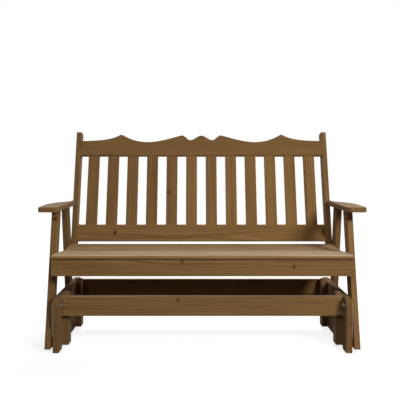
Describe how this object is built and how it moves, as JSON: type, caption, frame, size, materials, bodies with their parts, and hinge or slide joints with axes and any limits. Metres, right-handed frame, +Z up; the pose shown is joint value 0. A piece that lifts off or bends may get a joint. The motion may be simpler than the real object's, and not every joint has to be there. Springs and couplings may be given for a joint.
{
  "type": "glider bench",
  "caption": "Wooden glider bench: slatted seat and leaning back with a scalloped crest rail, hung on four steel links from a standing base.",
  "frame": {"origin": "on the floor, in the middle of the bench's overall width and depth", "axes": "+X to the right along the bench seen from the front, +Y from front to back, +Z up"},
  "size_m": [1.682, 0.7132, 1.126],
  "materials": {
    "stained_pine": "satin stain",
    "galvanised_steel": "galvanised",
    "nylon": "matte",
    "zinc_fasteners": "zinc plated"
  },
  "bodies": {
    "base": {"left_upper_side": "stained_pine", "right_upper_side": "stained_pine", "left_lower_side": "stained_pine", "right_lower_side": "stained_pine", "left_front_cleat": "stained_pine", "right_front_cleat": "stained_pine", "left_rear_cleat": "stained_pine", "right_rear_cleat": "stained_pine", "front_stretcher": "stained_pine", "rear_stretcher": "stained_pine", "base_screws": "zinc_fasteners", "upper_pivot_bolts": "zinc_fasteners"},
    "seat": {"front_right_leg": "stained_pine", "front_left_leg": "stained_pine", "rear_right_leg": "stained_pine", "rear_left_leg": "stained_pine", "leg_braces": "stained_pine", "seat_apron": "stained_pine", "left_side_rail": "stained_pine", "right_side_rail": "stained_pine", "left_outer_support": "stained_pine", "left_inner_support": "stained_pine", "right_inner_support": "stained_pine", "right_outer_support": "stained_pine", "seat_rear_rail": "stained_pine", "seat_slat_1": "stained_pine", "seat_slat_2": "stained_pine", "seat_slat_3": "stained_pine", "seat_slat_4": "stained_pine", "seat_slat_5": "stained_pine", "seat_slat_6": "stained_pine", "seat_slat_7": "stained_pine", "left_arm": "stained_pine", "right_arm": "stained_pine", "left_post": "stained_pine", "right_post": "stained_pine", "lower_back_rail": "stained_pine", "crest_rail": "stained_pine", "back_slat_01": "stained_pine", "back_slat_02": "stained_pine", "back_slat_03": "stained_pine", "back_slat_04": "stained_pine", "back_slat_05": "stained_pine", "back_slat_06": "stained_pine", "back_slat_07": "stained_pine", "back_slat_08": "stained_pine", "back_slat_09": "stained_pine", "back_slat_10": "stained_pine", "back_slat_11": "stained_pine", "back_slat_12": "stained_pine", "lower_pivot_bolts": "zinc_fasteners", "seat_fasteners": "zinc_fasteners"},
    "front_right_link": {"front_right_link": "galvanised_steel", "front_right_bushings": "nylon"},
    "front_left_link": {"front_left_link": "galvanised_steel", "front_left_bushings": "nylon"},
    "rear_right_link": {"rear_right_link": "galvanised_steel", "rear_right_bushings": "nylon"},
    "rear_left_link": {"rear_left_link": "galvanised_steel", "rear_left_bushings": "nylon"}
  },
  "joints": [
    {"name": "glide", "type": "hinge", "parent": "base", "child": "front_right_link", "pos_m": [0.748, -0.3106, 0.23], "axis": [1, 0, 0], "range_deg": [-24, 24]},
    {"name": "seat_level", "type": "hinge", "parent": "front_right_link", "child": "seat", "pos_m": [0.748, -0.3106, 0.078], "axis": [1, 0, 0], "range_deg": [-24, 24]},
    {"name": "front_left_swing", "type": "hinge", "parent": "base", "child": "front_left_link", "pos_m": [-0.748, -0.3106, 0.23], "axis": [1, 0, 0], "range_deg": [-24, 24]},
    {"name": "rear_right_swing", "type": "hinge", "parent": "base", "child": "rear_right_link", "pos_m": [0.748, 0.1884, 0.23], "axis": [1, 0, 0], "range_deg": [-24, 24]},
    {"name": "rear_left_swing", "type": "hinge", "parent": "base", "child": "rear_left_link", "pos_m": [-0.748, 0.1884, 0.23], "axis": [1, 0, 0], "range_deg": [-24, 24]}
  ],
  "couplings": [
    {"joint": "seat_level", "follows": "glide", "ratio": -1},
    {"joint": "front_left_swing", "follows": "glide", "ratio": 1},
    {"joint": "rear_right_swing", "follows": "glide", "ratio": 1},
    {"joint": "rear_left_swing", "follows": "glide", "ratio": 1}
  ]
}
